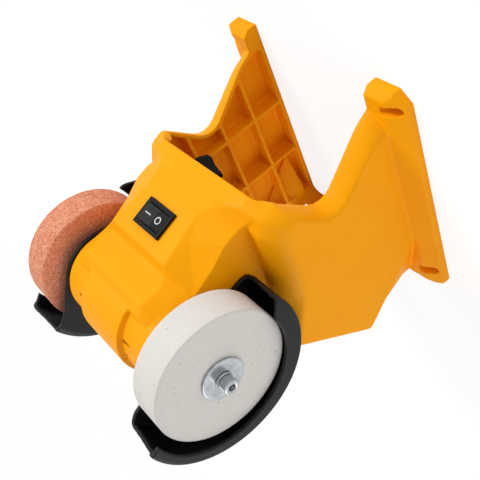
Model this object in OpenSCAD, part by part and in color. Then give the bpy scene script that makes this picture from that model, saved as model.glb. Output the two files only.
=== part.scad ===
// Cordless bench grinder: a motor barrel with a grinding wheel on each end of one spindle,
// standing on two ribbed side walls that leave a bay for a slide-in battery between them.
// Frame: millimetres, +Z up, -Y is the front with the switch, X runs along the spindle.
// Origin: the middle of the four bench slots, on the bench plane.

/* [Grinding wheels] */
// Diameter of each grinding wheel
wheel_d = 75; // [68:0.5:76]
// Width of each wheel across its rim
wheel_w = 20; // [16:0.5:21]
// Radius on the wheel's edges
wheel_edge = 1; // [0.5:0.1:2]
// Diameter of the hole through each wheel
wheel_bore_d = 12.7; // [12:0.1:16]

/* [Spindle] */
// Height of the spindle above the bench
axle_h = 144.6; // [143:0.1:148]
// Place of the spindle along Y, measured from the middle of the feet
axle_y = -2.3; // [-4:0.1:0]
// Diameter of the spindle where the bearings and wheels sit
spindle_d = 8; // [7:0.1:8.6]
// Diameter of the spindle between its two shoulders
spindle_core_d = 10; // [9.2:0.1:11]
// How far each spindle end stays short of the wheel's outer face
spindle_short = 3; // [2:0.1:6]
// Diameter of the clamping flanges
flange_d = 26; // [22:0.5:30]
// Diameter of the outer washers
washer_d = 24; // [20:0.5:30]
// Thickness of the inner clamping flange
flange_t = 3.5; // [2.5:0.1:5]
// Thickness of the outer washer
washer_t = 1.5; // [1:0.1:2.5]
// Diameter of the spring lock washer under the screw head
lock_washer_d = 9.6; // [9:0.1:12]
// Thickness of the spring lock washer
lock_washer_t = 1.6; // [1:0.1:2.5]
// Diameter of the spindle screw's head
screw_head_d = 8.5; // [8:0.1:10]
// Height of the spindle screw's head
screw_head_h = 5.5; // [4.6:0.1:9]
// Thread diameter of the spindle screw
screw_d = 5; // [4:0.1:5.4]
// Length of the spindle screw below its head
screw_l = 22; // [16:0.5:26]
// Size across the flats of the screw's hexagon socket
screw_socket = 4; // [3:0.1:5]

/* [Housing] */
// Width of the motor barrel from end wall to end wall
body_w = 83; // [82:0.5:90]
// Diameter of the barrel's raised middle band
band_d = 59; // [57:0.5:62]
// Width of the raised middle band
band_w = 39; // [34:0.5:44]
// Diameter of the barrel's two end caps
cap_d = 53; // [52:0.5:56]
// Radius on the outer edge of each end cap
cap_edge = 3; // [2:0.1:4]
// Thickness of the housing's walls
wall = 2.6; // [2.2:0.1:3]
// Thickness of the barrel's end walls
end_wall = 3; // [2.5:0.1:4]
// Distance from the spindle down to the battery bay's roof
bay_drop = 56.6; // [55:0.1:58]
// Distance from the bay's roof down to the front apron's lower edge
apron_drop = 7; // [5:0.5:9]
// Distance from the spindle down to the lower edge of the rear cover
cover_drop = 41.6; // [39:0.1:42]
// Width of each barrel vent slot
vent_w = 2.2; // [1.4:0.1:2.6]
// Length of each barrel vent slot
vent_l = 6.6; // [5:0.2:8]
// Angle between neighbouring vent slots round the barrel
vent_pitch = 20; // [14:1:24]

/* [Side walls and feet] */
// Distance between the inner faces of the two side walls
bay_w = 94.4; // [92:0.2:98]
// Depth of each side wall, with its ribs
side_t = 11.8; // [10:0.1:13]
// Rounding on the outer edges of each side wall
side_round = 4.5; // [3:0.1:5]
// Thickness of the ribs and rims inside each side wall
rib_t = 2.2; // [1.8:0.1:3]
// Length of each foot
foot_l = 142.6; // [138:0.1:150]
// Distance from the bay to the outer edge of each foot
foot_w = 23.3; // [22.5:0.1:26]
// Height of each foot beside its wall
foot_h = 10; // [9:0.1:12]
// Height of each foot at its outer edge
foot_edge_h = 4; // [2.5:0.1:5]
// Distance by which the feet reach further back than forward
foot_shift = 2; // [0:0.1:3]
// Chamfer on the outer front corner of each foot
foot_corner = 7; // [5:0.1:8]
// Distance between the bench slots across the two feet
slot_span_x = 124; // [122:0.5:126]
// Distance between the bench slots along each foot
slot_span_y = 121; // [118:0.5:122]
// Width of each bench slot
slot_w = 5.5; // [4.5:0.1:6.5]
// Length of each bench slot from end to end
slot_l = 12; // [9:0.5:13]
// Thickness of the low cross bar between the feet's rear ends
bar_t = 3; // [2.4:0.1:5]
// Height of the low cross bar
bar_h = 12; // [10.5:0.5:15]
// How far the cross bar stays short of the feet's rear ends
bar_back = 4.7; // [2:0.1:6]

/* [Wheel guards] */
// Thickness of the guard's moulded walls
guard_t = 2.4; // [2:0.1:3]
// Outer radius of the guard round the wheel
guard_r = 48.3; // [47.6:0.1:50]
// How far the guard reaches past the wheel's outer face
guard_over = 4; // [3:0.1:6]
// Radius of the bend between the guard's plate and its rim
guard_bend = 4; // [3:0.5:6]
// Gap between the guard's plate and the inner flange
guard_gap = 1.6; // [1.2:0.1:2.5]
// Distance of the guard screws from the spindle
guard_screw_r = 19.5; // [19:0.1:20]

/* [Motor and bearings] */
// Outside diameter of the steel motor can
motor_d = 44; // [42:0.5:46]
// Length of the steel motor can
motor_l = 38; // [37:0.5:39]
// Wall of the motor can
motor_wall = 1.5; // [1.2:0.1:2]
// Outside diameter of the rotor
rotor_d = 30; // [28:0.5:31]
// Length of the rotor's steel core
rotor_l = 20; // [18:0.5:21]
// Number of slots in the rotor
rotor_slots = 5; // [3:1:9]
// Diameter of the commutator
commutator_d = 12.5; // [11.5:0.1:14]
// Outside diameter of each ball bearing
bearing_d = 22; // [21:0.1:23]
// Width of each ball bearing
bearing_w = 7; // [6:0.1:7.4]
// Diameter of the bearing balls
ball_d = 4; // [3.6:0.1:4.2]
// Number of balls in each bearing
ball_count = 7; // [6:1:8]

/* [Switch] */
// Width of the switch bezel along X
bezel_w = 22.7; // [22:0.1:25]
// Height of the switch bezel along the panel
bezel_h = 15.7; // [14.5:0.1:17]
// How far the bezel stands above the panel
bezel_t = 1.8; // [1.2:0.1:2.4]
// Depth of the switch body behind the panel
switch_depth = 13; // [11:0.5:15]
// Angle of the switch panel from the vertical
panel_tilt = 17.6; // [15:0.1:20]
// Swing of the rocker to each side of its middle
rocker_swing = 8; // [5:0.5:9]

/* [Battery dock] */
// Distance between the inner faces of the dock's two rails
rail_gap = 58; // [52:0.5:60]
// Height of the dock's rails below its plate
rail_drop = 19; // [15:0.5:20]
// Thickness of the dock's plate and rails
rail_t = 3.4; // [2.6:0.1:4]
// Length of the dock along the slide
dock_l = 72; // [64:0.5:76]

/* [Clearances] */
// Radial gap round a turning shaft or a seated bearing
fit_gap = 0.05; // [0.03:0.01:0.08]
// Gap between moulded parts that slide or drop into each other
seat_gap = 0.2; // [0.1:0.05:0.3]
// Gap between the motor's turning and standing parts
air_gap = 0.8; // [0.6:0.1:1.2]

/* [Hidden] */

$fn = 64;
eps = 0.01;
body_half = body_w / 2;
band_r = band_d / 2;
cap_r = cap_d / 2;
wheel_r = wheel_d / 2;
spindle_r = spindle_d / 2;
flange_in = body_half + guard_t + guard_gap;
wheel_in = flange_in + flange_t;
wheel_out = wheel_in + wheel_w;
washer_out = wheel_out + washer_t;
lock_out = washer_out + lock_washer_t;
head_out = lock_out + screw_head_h;
guard_out = wheel_out + guard_over;
spindle_half = wheel_out - spindle_short;
bearing_out = body_half - end_wall;
bearing_in = bearing_out - bearing_w;
side_in = bay_w / 2;
side_out = side_in + side_t;
foot_out = side_in + foot_w;
foot_y0 = (foot_shift - foot_l) / 2;
foot_y1 = foot_y0 + foot_l;
bay_h = axle_h - bay_drop;
apron_h = bay_h - apron_drop;
cover_h = axle_h - cover_drop;

// Side wall outline where it meets the bay, as [Y from the spindle, Z, corner radius],
// clockwise seen from +X, from the front foot upwards
rim_corners = [[-54, 0.2, 0], [-57, 7, 0], [-50.9, 19.1, 30], [-23.3, 51.6, 11.5],
    [-48.2, axle_h - 68.1, 1.5], [-46, axle_h - 58.8, 4], [-36.5, axle_h - 53.8, 6],
    [12, axle_h - 51.2, 20], [40.2, axle_h - 45.6, 2.5], [75.2, 53.5, 3],
    [60.8, 36, 8], [64.4, 10, 0], [64, 0.2, 0]];
// The same corners on the outer face
face_corners = [[-44, 0.2, 0], [-46, 7, 0], [-42, 19.1, 30], [-18.5, 51.6, 11.5],
    [-38, axle_h - 72.1, 1.5], [-35, axle_h - 67.6, 4], [-28, axle_h - 65.1, 6],
    [10, axle_h - 61.6, 20], [38.6, axle_h - 46.2, 2.5], [74.6, 53.5, 3],
    [60, 36, 8], [63, 10, 0], [62, 0.2, 0]];
// The same corners where the shoulder meets the body
neck_corners = [[-54, 0.2, 0], [-57, 7, 0], [-50.9, 19.1, 30], [-23.3, 51.6, 11.5],
    [-50.2, axle_h - 62.8, 1], [-47.8, axle_h - 58.6, 2.5], [-40, axle_h - 54.2, 6],
    [12, axle_h - 51.2, 20], [40.2, axle_h - 45.6, 2.5], [75.2, 53.5, 3],
    [60.8, 36, 8], [64.4, 10, 0], [64, 0.2, 0]];

// Front body, half of it, as rows of [X, Y from the spindle, Z] from the brow down to the apron
switch_y = -44;
switch_z = axle_h - 27.6;
function panel_y(z) = switch_y - tan(panel_tilt) * (switch_z - z);
step_z = axle_h - 13.4;
panel_low = axle_h - 40.6;
front_rows = [
    [[0, -26, axle_h + 12], [29, -26, axle_h + 12], [36, -22.5, axle_h + 12], [body_half, -20, axle_h + 12]],
    [[0, -31.6, axle_h + 7.4], [28.5, -31.6, axle_h + 7.4], [36, -26.8, axle_h + 7.4],
        [body_half, -23.8, axle_h + 7.4]],
    [[0, -32.8, axle_h - 7], [28.5, -32.8, axle_h - 7], [36.5, -28.4, axle_h - 7],
        [body_half, -25, axle_h - 7]],
    [[0, -33.6, step_z + 2.6], [25.5, -33.6, step_z + 2.6], [35, -29.6, step_z + 2],
        [body_half, -25.2, step_z + 2]],
    [[0, panel_y(step_z), step_z], [25, panel_y(step_z), step_z], [31.5, -34.6, step_z - 1.5],
        [body_half, -25.8, step_z - 1]],
    [[0, panel_y(axle_h - 29.9), axle_h - 29.9], [23, panel_y(axle_h - 29.9), axle_h - 29.9],
        [27, -41.8, axle_h - 29.9], [body_half, -32.5, axle_h - 29.9]],
    [[0, panel_y(panel_low), panel_low], [21.4, panel_y(panel_low), panel_low],
        [22.4, -47.4, panel_low], [body_half, -39.3, panel_low]],
    [[0, -49.1, apron_h + 15], [21, -49.1, apron_h + 15], [25, -48.9, apron_h + 15],
        [body_half, -41.4, apron_h + 15]],
    [[0, -49.7, apron_h + 9.6], [21, -49.7, apron_h + 9.6], [30.5, -48.4, apron_h + 9.6],
        [body_half, -41.2, apron_h + 9.6]],
    [[0, -50.4, apron_h + 5], [21, -50.4, apron_h + 5], [37, -49.2, apron_h + 5],
        [side_in, -45.9, apron_h + 4.8]],
    [[0, -51, apron_h], [21, -51, apron_h], [39.4, -51, apron_h], [side_in, -47.9, apron_h - 3.8]]];
// Rear body outline: from the barrel's back down to the rear apron, as [Y from the spindle, Z]
tail_top = axle_h - 28;
tail_low_y = 53.9;
// Boss places for the cover screws, as [X, Z]
cover_screw_at = [[12, axle_h + 25.2], [35.8, axle_h - 34]];
dock_front = -36;
dock_z = bay_h;

// Steps along a path's corner arc, each a share of its turn
corner_steps = 4;

// Point list with each [a, b, radius] corner of a closed outline rounded by an arc
function unit(v) = v / norm(v);
function turn_of(a, b, c) = let (u = unit(a - b), w = unit(c - b)) acos(u * w);
function arc_corner(a, b, c, r) = let (
        u = unit(a - b), w = unit(c - b), half = turn_of(a, b, c) / 2,
        middle = b + unit(u + w) * r / sin(half),
        start = b + u * r / tan(half) - middle, stop = b + w * r / tan(half) - middle,
        sweep = acos(unit(start) * unit(stop)),
        way = start[0] * stop[1] - start[1] * stop[0] > 0 ? 1 : -1)
    [for (k = [0 : corner_steps]) let (t = way * sweep * k / corner_steps)
        middle + [start[0] * cos(t) - start[1] * sin(t), start[0] * sin(t) + start[1] * cos(t)]];
function flat(p) = [p[0], p[1]];
function rounded(corners) = let (n = len(corners)) [for (i = [0 : n - 1])
    let (a = flat(corners[(i + n - 1) % n]), b = flat(corners[i]), c = flat(corners[(i + 1) % n]))
    each corners[i][2] > 0 ? arc_corner(a, b, c, corners[i][2]) : [b]];

// Outline moved inwards by d, each point along the middle of its two sides
function left_of(v) = [-v[1], v[0]];
function inset(points, d, way) = let (n = len(points)) [for (i = [0 : n - 1])
    let (p = points[i], before = left_of(unit(p - points[(i + n - 1) % n])) * way,
        after = left_of(unit(points[(i + 1) % n] - p)) * way)
    p + d * (before + after) / (1 + before * after)];

// Corners moved inwards by d, their radii kept true to the move
function bends_in(a, b, c) = let (u = b - a, w = c - b) u[0] * w[1] - u[1] * w[0] > 0;
function inset_corners(c, d) = d == 0 ? c : let (n = len(c), p = inset([for (q = c) flat(q)], d, -1))
    [for (i = [0 : n - 1]) let (r = c[i][2],
        away = bends_in(flat(c[(i + n - 1) % n]), flat(c[i]), flat(c[(i + 1) % n])))
        [p[i][0], p[i][1], r == 0 ? 0 : away ? r + d : max(0.3, r - d)]];
function mix(a, b, t) = a + (b - a) * t;
// One section of the side wall, on a soft bevel from the rim (a = 0) to the outer face (a = 90)
bevel = 1.3;
function side_section(a, d) = [side_in + (side_t - d) * pow(sin(a), bevel),
    rounded(inset_corners(mix(rim_corners, face_corners, 1 - pow(cos(a), bevel)), d))];

module at_axle() { translate([0, axle_y, axle_h]) children(); }
module from_axle_y() { translate([0, axle_y, 0]) children(); }

// A cylinder along X from x0 to x1
module rod(r, x0, x1) {
    translate([x0, 0, 0]) rotate([0, 90, 0]) cylinder(r = r, h = x1 - x0);
}
// A ring along X from x0 to x1
module ring(r_out, r_in, x0, x1) {
    difference() {
        rod(r_out, x0, x1);
        rod(r_in, x0 - 1, x1 + 1);
    }
}
// A turned shape about X from its [radius, X] outline
module turned(outline) {
    rotate([0, 90, 0]) rotate_extrude() polygon(outline);
}
// An outline in Y and Z carried along X from x0 to x1
module along_x(points, x0, x1) {
    translate([x0, 0, 0]) rotate([90, 0, 90]) linear_extrude(height = x1 - x0) polygon(points);
}
module both_ends() {
    children();
    mirror([1, 0, 0]) children();
}

// Barrel: middle band and two lower end caps, grown by g
module barrel(g) {
    rod(band_r + g, -band_w / 2 - g, band_w / 2 + g);
    e = cap_edge;
    r = cap_r + g;
    h = body_half + g;
    turned([[0, -h], [r - e, -h], [r - 0.3 * e, -h + 0.3 * e], [r, -h + e],
        [r, h - e], [r - 0.3 * e, h - 0.3 * e], [r - e, h], [0, h]]);
}

// A closed solid through sections of equal length, each [X, [[Y, Z] ...]], at rising X; both ends
// are closed by triangles round one point that sees the whole outline
side_middle = [20, 50];
module loft(sections) {
    n = len(sections[0][1]);
    m = len(sections);
    ends = [for (k = [0, m - 1]) [sections[k][0], side_middle[0], side_middle[1]]];
    polyhedron(points = concat([for (s = sections, p = s[1]) [s[0], p[0], p[1]]], ends), faces = concat(
        [for (i = [0 : n - 1]) let (j = (i + 1) % n) [m * n, j, i]],
        [for (k = [0 : m - 2], i = [0 : n - 1]) let (j = (i + 1) % n, a = k * n, b = a + n)
            each [[a + i, a + j, b + j], [a + i, b + j, b + i]]],
        [for (i = [0 : n - 1]) let (j = (i + 1) % n, a = (m - 1) * n) [m * n + 1, a + i, a + j]]));
}

// Two triangles for the quad a, b, c, e of the point list p, split so that the fold stands out
// towards the front
function fold(p, a, b, c, e) = p[a][1] + p[c][1] < p[b][1] + p[e][1] ?
    [[a, b, c], [a, c, e]] : [[a, b, e], [b, c, e]];

// Front body: its rows mirrored to both sides and closed by a flat back, moved inwards by d
module front_body(d) {
    rows = [for (r = front_rows) concat(
        [for (i = [3 : -1 : 1]) [-r[i][0] + d, r[i][1] + d, r[i][2]]],
        [for (p = r) [p[0] == 0 ? 0 : p[0] - d, p[1] + d, p[2]]])];
    w = len(rows[0]);
    h = len(rows);
    back = [for (r = rows, p = r) [p[0], 3, p[2]]];
    b = w * h;
    front = [for (r = rows, p = r) p];
    polyhedron(points = concat(front, back), faces = concat(
        [for (i = [0 : h - 2], j = [0 : w - 2]) let (q = i * w + j)
            each fold(front, q, q + 1, q + w + 1, q + w)],
        [for (i = [0 : h - 2], j = [0 : w - 2])
            [b + i * w + j, b + (i + 1) * w + j, b + (i + 1) * w + j + 1, b + i * w + j + 1]],
        [for (j = [0 : w - 2]) [j + 1, j, b + j, b + j + 1]],
        [for (j = [0 : w - 2]) let (q = (h - 1) * w + j) [q, q + 1, b + q + 1, b + q]],
        [for (i = [0 : h - 2]) [i * w, (i + 1) * w, b + (i + 1) * w, b + i * w]],
        [for (i = [0 : h - 2]) let (q = i * w + w - 1) [q + w, q, b + q, b + q + w]]));
}

// Rear body, moved inwards by d
module rear_body(d) {
    slope = (tail_low_y - cap_r) / (tail_top - apron_h);
    low = d > 0 ? bay_h + d : apron_h;
    y_low = tail_low_y - slope * (low - apron_h) - 1.25 * d;
    along_x([[0, axle_h], [cap_r - d, axle_h], [cap_r - d, tail_top - d / 2], [y_low, low], [0, low]],
        -body_half + d, body_half - d);
}
module rear_shoulder() {
    slope = (tail_low_y - cap_r) / (tail_top - apron_h);
    top = axle_h - 51;
    along_x([[0, top - 0.2], [tail_low_y - slope * (top - apron_h), top], [tail_low_y, apron_h],
        [tail_low_y + 2, apron_h - 3], [0, apron_h - 3]], -side_in, side_in);
}

// Side wall with its shoulder, rounded towards the outer face
module side_wall_solid() {
    loft(concat([[body_half - 1.5, rounded(neck_corners)]],
        [for (a = [0 : 18 : 90]) side_section(a, 0)]));
}

// Foot along Y, with its top sloping down outwards and its ends chamfered
module foot() {
    difference() {
        translate([0, foot_y1, 0]) rotate([90, 0, 0]) linear_extrude(height = foot_l)
            polygon([[side_in, 0], [foot_out, 0], [foot_out, foot_edge_h], [side_out + 1, foot_h],
                [side_in, foot_h]]);
        for (end = [[foot_y0, foot_corner], [foot_y1, 1.6]]) {
            translate([foot_out, end[0], 0]) rotate([0, 0, 45])
                cube([end[1] * sqrt(2), end[1] * sqrt(2), 3 * foot_h], center = true);
            translate([side_in - 1, end[0], foot_h]) rotate([45, 0, 0])
                translate([0, -2.6, -2.6]) cube([foot_w + 2, 5.2, 5.2]);
        }
    }
}

// Low bar across the bay between the feet's rear ends, with a gusset against each wall
module cross_bar() {
    rear = foot_y1 - bar_back;
    front = rear - bar_t;
    both_ends() {
        linear_extrude(height = bar_h)
            polygon([[0, front], [side_in + 0.6, front], [side_in + 0.6, rear], [0, rear]]);
        linear_extrude(height = bar_h + 9)
            polygon([[side_in - 4.4, front], [side_in - 1.4, front - 1.4], [side_in, front - 4.4],
                [side_in + 3, front - 4.4], [side_in + 3, front + 1], [side_in - 4.4, front + 1]]);
    }
}

// Bench slot through a foot, centred on its place
module bench_slot() {
    run = (slot_l - slot_w) / 2;
    for (s = [-1, 1]) translate([s * run, 0, -1]) cylinder(r = slot_w / 2, h = foot_h + 3);
    translate([-run, -slot_w / 2, -1]) cube([2 * run, slot_w, foot_h + 3]);
}

// Pockets between the ribs, open towards the bay
module rib_pockets() {
    d = rib_t + 0.4;
    first = side_section(0, d);
    difference() {
        loft(concat([[side_in - 1, first[1]]], [for (a = [0 : 30 : 90]) side_section(a, d)]));
        for (y = [-13, 25]) translate([side_in - 2, y - rib_t / 2, 0]) cube([side_t + 4, rib_t, 120]);
        for (k = [0 : 2]) translate([side_in - 2, -90, low_rib_z + k * (apron_h - low_rib_z - 16) / 2])
            cube([side_t + 4, 200, rib_t]);
        translate([side_in - 2, -90, apron_h + 1]) cube([side_t + 4, 200, 40]);
        translate([side_in - 2, -90, -1]) cube([side_t + 4, 200, 1 + rib_t + 0.6]);
        translate([-4.4, -3.2, -2.2]) rear_corner_wedge();
        for (s = [-1, 1]) translate([(slot_span_x - slot_l + slot_w) / 2, s * slot_span_y / 2 - axle_y, -1])
            cylinder(r = slot_w / 2 + rib_t, h = foot_h + 6);
    }
}
low_rib_z = 21.4;

// Wedge off the rear lower corner of a side wall, which clears the rear bench slot
module rear_corner_wedge() {
    polyhedron(points = [[side_out + 0.4, 61.2, 38], [side_in + 2, 67, foot_h - 0.5],
        [side_out + 0.4, 33, foot_h - 0.5], [side_out + 14, 90, foot_h - 0.5]],
        faces = [[0, 2, 1], [0, 1, 3], [0, 3, 2], [1, 2, 3]]);
}

// Everything the two housing mouldings share, before it is hollowed
module outer_shell() {
    at_axle() barrel(0);
    from_axle_y() {
        front_body(0);
        rear_body(0);
    }
}

// Hollow for the motor, the bearings, the switch and the leads
module inner_hollow() {
    at_axle() {
        rod(band_r - wall, -band_w / 2 + wall, band_w / 2 - wall);
        rod(cap_r - wall, -bearing_out, bearing_out);
    }
    from_axle_y() intersection() {
        union() {
            front_body(wall);
            rear_body(wall);
        }
        translate([-bearing_out, -60, bay_h + wall]) cube([2 * bearing_out, 120, 60]);
    }
}

// Five vent slots in one end cap, the foremost 28 degrees in front of the barrel's top
module vents() {
    for (k = [0 : 4]) rotate([28 - k * vent_pitch, 0, 0])
        translate([band_w / 2 + 0.6, -vent_w / 2, cap_r - 2 * wall]) cube([vent_l, vent_w, 3 * wall]);
}

// Boss round a cover screw, along Y
module screw_boss(at, r, y0, y1) {
    translate([at[0], y1, at[1]]) rotate([90, 0, 0]) cylinder(r = r, h = y1 - y0);
}

bearing_boss_r = bearing_d / 2 + 2.4;
cradle_r = motor_d / 2 + seat_gap;

// Bearing bosses, motor cradles and screw bosses, which the split plane shares out
module inner_fittings() {
    at_axle() both_ends() {
        ring(bearing_boss_r, bearing_d / 2 + fit_gap, bearing_in, bearing_out + eps);
        ring(band_r - wall + eps, cradle_r, 2, 2 + wall);
        ring(cap_r - wall + eps, cradle_r, band_w / 2 + 1, band_w / 2 + 1 + wall);
        for (a = [0, 120, 240]) rotate([a, 0, 0]) translate([0, guard_screw_r, 0])
            rod(3.4, bearing_in, bearing_out + eps);
    }
}

module cover_bosses() {
    both_ends() {
        intersection() {
            from_axle_y() screw_boss(cover_screw_at[0], 3.1, -9, 12);
            at_axle() rod(band_r - 0.4, 0, band_w / 2);
        }
        from_axle_y() screw_boss(cover_screw_at[1], 3.6, -24, 27.6);
    }
}

pilot_r = 1.2;
clear_r = 1.7;

// Cuts that both housing mouldings take
module shared_cuts() {
    at_axle() both_ends() {
        rod(bearing_boss_r - 3.6, bearing_out - 1, body_half + 1);
        rod(bearing_d / 2 + fit_gap, bearing_in - 1, bearing_out);
        for (a = [0, 120, 240]) rotate([a, 0, 0]) translate([0, guard_screw_r, 0])
            rod(pilot_r, bearing_in + 1, body_half + 1);
        vents();
        rod(cradle_r, -motor_l / 2 - 6, motor_l / 2 + 6);
    }
    from_axle_y() both_ends() for (at = cover_screw_at)
        screw_boss(at, pilot_r, at[0] < 20 ? -7 : -18, 60);
}

// Local switch frame: X along the panel, Y up the panel, Z outwards
module on_panel() {
    translate([0, axle_y + switch_y, switch_z]) rotate([90 - panel_tilt, 0, 0]) children();
}
cut_w = bezel_w - 3.4;
cut_h = bezel_h - 2.4;

module main_housing() {
    color("orange") difference() {
        union() {
            difference() {
                union() {
                    outer_shell();
                    from_axle_y() rear_shoulder();
                    both_ends() {
                        from_axle_y() side_wall_solid();
                        foot();
                    }
                    cross_bar();
                }
                inner_hollow();
                from_axle_y() bay();
                both_ends() from_axle_y() {
                    rib_pockets();
                    rear_corner_wedge();
                }
                both_ends() for (s = [-1, 1])
                    translate([slot_span_x / 2, s * slot_span_y / 2, 0]) bench_slot();
                on_panel() translate([-cut_w / 2, -cut_h / 2, -8]) cube([cut_w, cut_h, 30]);
            }
            inner_fittings();
            cover_bosses();
            from_axle_y() both_ends() for (y = dock_screw_y) translate([24, y, bay_h])
                cylinder(r = 3.6, h = 7);
        }
        shared_cuts();
        rear_half();
        from_axle_y() both_ends() {
            for (y = dock_screw_y) translate([24, y, bay_h - 1]) cylinder(r = pilot_r, h = 6);
            translate([9, lead_hole_y, bay_h - 1]) cylinder(r = lead_r + 0.4, h = 9);
        }
    }
}

// Battery bay between the side walls, under the roof and behind the apron
module bay() {
    front = -47.6;
    low = apron_h - 21;
    along_x([[front, low], [front, apron_h + 1], [-44.5, bay_h], [40, bay_h], [49.5, apron_h + 1],
        [90, low]], -40, 40);
    along_x([[front + 2.4, low], [front + 2.4, apron_h], [60, apron_h], [90, low]], -side_in, side_in);
    difference() {
        along_x([[-90, -2], [-90, apron_h - 7], [60, apron_h - 7], [90, low], [90, -2]],
            -side_in, side_in);
        translate([0, -axle_y, 0]) cross_bar();
    }
}

// The rear cover's share of the housing
module rear_half() {
    translate([-body_half - 1, axle_y, cover_h]) cube([body_w + 2, 60, 90]);
}

module rear_cover() {
    color("orange") difference() {
        intersection() {
            union() {
                difference() {
                    outer_shell();
                    inner_hollow();
                }
                inner_fittings();
                cover_bosses();
            }
            rear_half();
        }
        shared_cuts();
        from_axle_y() both_ends() for (at = cover_screw_at) {
            screw_boss(at, clear_r, 0, 60);
            screw_boss(at, 3, cover_head_y(at), 60);
        }
    }
}
// Face on which a cover screw's head sits, as Y from the spindle
function cover_head_y(at) = at[0] < 20 ? 9 : 26;

module cover_screws() {
    color("dimgray") from_axle_y() both_ends() for (at = cover_screw_at) difference() {
        union() {
            screw_boss(at, 2.7, cover_head_y(at) + fit_gap, cover_head_y(at) + 2.2);
            screw_boss(at, pilot_r - fit_gap, cover_head_y(at) - 15, cover_head_y(at) + 1);
        }
        screw_boss(at, 1, cover_head_y(at) + 1, cover_head_y(at) + 5);
    }
}

// Guard, drawn for the +X wheel with its X measured from the spindle's middle; the rim's circle
// has its middle at [Y, Z] from the spindle, the mouth in its lip is [Y, Z, radius], each end cut
// is [X from, X to, outline in Y and Z], and each rim cut is [Z from, Z to, outline in X and Y]
module guard(middle, mouth, end_cuts, rim_cuts) {
    x0 = body_half;
    x1 = guard_out;
    r = guard_r;
    b = guard_bend;
    t = guard_t;
    c = 1.2;
    section = concat([[bearing_boss_r - 3, x0]],
        [for (a = [0 : 22.5 : 90]) [r - b + b * sin(a), x0 + b - b * cos(a)]],
        [[r, x1 - c], [r - 0.3 * c, x1 - 0.3 * c], [r - c, x1], [r - 12, x1], [r - 12, x1 - t],
            [r - t, x1 - t]],
        [for (a = [90 : -22.5 : 0]) [r - b + (b - t) * sin(a), x0 + b - (b - t) * cos(a)]],
        [[bearing_boss_r - 3, x0 + t]]);
    difference() {
        intersection() {
            translate([0, middle[0], middle[1]]) turned(section);
            along_x(guard_plan, x0 - 1, x1 + 1);
        }
        translate([0, mouth[0], mouth[1]]) rod(mouth[2], x1 - 2 * t, x1 + t);
        for (cut = end_cuts) along_x(cut[2], cut[0], cut[1]);
        for (cut = rim_cuts) translate([0, 0, cut[0]]) linear_extrude(height = cut[1] - cut[0])
            polygon(cut[2]);
        for (a = [0, 120, 240]) rotate([a, 0, 0]) translate([0, guard_screw_r, 0])
            rod(clear_r, x0 - 1, x0 + 2 * t);
    }
}
lip_x = guard_out - 3.6;
plate_x = body_half + guard_t + 1.6;
plate_low_end = [body_half - 1, plate_x, [[-14, -33.4], [-14.9, -38.2], [-15.3, -42.3], [-14.1, -44.6],
    [-11.1, -46.8], [-8, -54], [-34, -54], [-34, -33.4]]];
left_ends = [plate_low_end,
    [lip_x, guard_out + 2, [[-9.2, -35.4], [-12, -36.6], [-23, -41.2], [-28, -43.3], [-28, -20],
        [-9.2, -20]]],
    [lip_x, guard_out + 2, [[6.4, 52], [5.6, 48], [3.5, 44], [3.5, 20], [-12, 20], [-12, 52]]],
    [body_half - 1, plate_x, [[17, 52], [14, 46.6], [11.9, 44.2], [9.2, 41.4], [7.7, 37.9], [4, 34],
        [-4, 30], [-14, 30], [-14, 52]]]];
left_rim_ends = [
    [-62, -35, [[plate_x - 1, -40], [plate_x - 1, -14.3], [50, -14.3], [60, -18.4], [lip_x + 0.1, -22.2],
        [lip_x + 0.1, -40]]],
    [43.2, 62, [[plate_x - 0.6, -12], [plate_x - 0.6, 13.8], [51, 13.4], [59, 11.5], [68.5, 8.8],
        [lip_x + 0.1, 7.6], [lip_x + 0.1, -12]]]];
right_ends = [plate_low_end,
    [lip_x, guard_out + 2, [[-17.2, -30], [-17.3, -35.2], [-17.5, -37.9], [-16.7, -40.8], [-14.8, -44.4],
        [-13, -54], [-40, -54], [-40, -30]]],
    [lip_x, guard_out + 2, [[12.6, 52], [12.2, 46.4], [10.9, 42.9], [6.6, 38.3], [4, 36], [-12, 36],
        [-12, 52]]],
    [body_half - 1, plate_x, [[17, 52], [14.4, 47], [11.7, 43.4], [10, 39.8], [5.1, 35.4], [-8, 26.6],
        [-14, 34], [-14, 52]]]];
right_rim_ends = [
    [-62, -35, [[plate_x - 1, -40], [plate_x - 1, -14.3], [lip_x + 0.1, -14.8], [lip_x + 0.1, -40]]],
    [42.6, 62, [[plate_x - 0.6, -12], [plate_x - 0.6, 14.3], [49, 14.4], [57.5, 13.4], [66.3, 10.8],
        [lip_x + 0.1, 11], [lip_x + 0.1, -12]]]];
// What the guard covers in side view: the rear, and a disc round the hub
guard_plan = concat([[3, 60], [3, 38]],
    [for (a = [112 : 8 : 248]) cap_r * [cos(a), sin(a)]],
    [[-14, -33.6], [-26, -36], [-26, -60], [60, -60], [60, 60]]);

module wheel_guard_left() {
    color("dimgray") at_axle() mirror([1, 0, 0])
        guard([-1.5, 1.2], [-1.2, 3.4, 40.1], left_ends, left_rim_ends);
}
module wheel_guard_right() {
    color("dimgray") at_axle() guard([-1.2, 0], [-1, 0.6, 39], right_ends, right_rim_ends);
}

module guard_screws() {
    head = body_half + guard_t;
    color("silver") at_axle() both_ends() for (a = [0, 120, 240])
        rotate([a, 0, 0]) translate([0, guard_screw_r, 0]) difference() {
            union() {
                rod(2.8, head + fit_gap, head + 1.6);
                rod(pilot_r - fit_gap, bearing_in + 2, head + 1);
            }
            rod(1, head + 0.8, head + 3);
        }
}

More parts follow.
